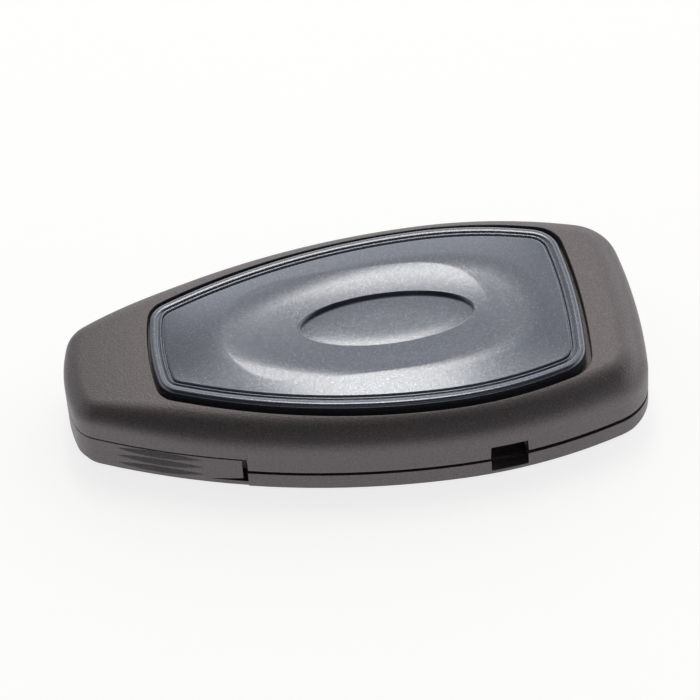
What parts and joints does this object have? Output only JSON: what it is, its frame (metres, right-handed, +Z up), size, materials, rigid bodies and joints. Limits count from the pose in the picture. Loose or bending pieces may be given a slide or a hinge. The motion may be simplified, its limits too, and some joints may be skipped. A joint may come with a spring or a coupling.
{
  "type": "car key fob",
  "caption": "Tapered car remote with a lift-off cover, a crowned gloss panel, ribbed release arms, three buttons and a stowed emergency key.",
  "frame": {"origin": "centre of the fob's outline, on the surface that its button face lies on", "axes": "+X along the fob towards its wide end, +Y across to the side away from the prying slot, +Z up through the gloss panel"},
  "size_m": [0.0746, 0.04, 0.0115],
  "materials": {
    "case_plastic": "fine moulded grain",
    "gloss_panel": "blue-grey pearl under a clear gloss",
    "gloss_insert": "gloss",
    "button_plastic": "satin",
    "board": "solder mask",
    "switch_metal": "satin",
    "cell_steel": "satin",
    "spring_steel": "bright",
    "chip_plastic": "matt",
    "ferrite": "matt",
    "ceramic": "matt",
    "key_steel": "milled",
    "head_plastic": "satin"
  },
  "bodies": {
    "remote": {"lower_shell": "case_plastic", "button_insert": "gloss_insert", "inner_housing": "case_plastic", "circuit_board": "board", "lock_switch": "switch_metal", "boot_switch": "switch_metal", "unlock_switch": "switch_metal", "coin_cell": "cell_steel", "battery_contact_negative": "spring_steel", "battery_contact_positive": "spring_steel", "radio_chip": "chip_plastic", "crystal": "switch_metal", "antenna_coil": "ferrite", "capacitors": "ceramic", "arm_pin_near": "spring_steel", "arm_pin_far": "spring_steel", "arm_spring_near": "spring_steel", "arm_spring_far": "spring_steel"},
    "cover": {"cover": "case_plastic", "cover_panel": "gloss_panel"},
    "emergency_key": {"key_blade": "key_steel", "blade_head": "head_plastic"},
    "arm_near": {"release_arm_near": "case_plastic"},
    "arm_far": {"release_arm_far": "case_plastic"},
    "lock_button": {"lock_button": "button_plastic"},
    "boot_button": {"boot_button": "button_plastic"},
    "unlock_button": {"unlock_button": "button_plastic"}
  },
  "joints": [
    {"name": "cover_lift", "type": "slide", "parent": "remote", "child": "cover", "axis": [0, 0, 1], "range_m": [0, 0.03]},
    {"name": "key_lift", "type": "slide", "parent": "remote", "child": "emergency_key", "axis": [0, 0, 1], "range_m": [0, 0.012]},
    {"name": "arm_near_press", "type": "hinge", "parent": "remote", "child": "arm_near", "pos_m": [-0.0339, -0.0045, 0.003], "axis": [0, 0, 1], "range_deg": [0, 2], "stiffness_Nm_per_rad": 0.4},
    {"name": "arm_far_press", "type": "hinge", "parent": "remote", "child": "arm_far", "pos_m": [-0.0339, 0.0045, 0.003], "axis": [0, 0, -1], "range_deg": [0, 2], "stiffness_Nm_per_rad": 0.4},
    {"name": "lock_press", "type": "slide", "parent": "remote", "child": "lock_button", "axis": [0, 0, 1], "range_m": [0, 0.0004], "stiffness_N_per_m": 800},
    {"name": "boot_press", "type": "slide", "parent": "remote", "child": "boot_button", "axis": [0, 0, 1], "range_m": [0, 0.0004], "stiffness_N_per_m": 800},
    {"name": "unlock_press", "type": "slide", "parent": "remote", "child": "unlock_button", "axis": [0, 0, 1], "range_m": [0, 0.0004], "stiffness_N_per_m": 800}
  ],
  "couplings": [
    {"joint": "key_lift", "follows": "cover_lift", "ratio": 0.4}
  ]
}
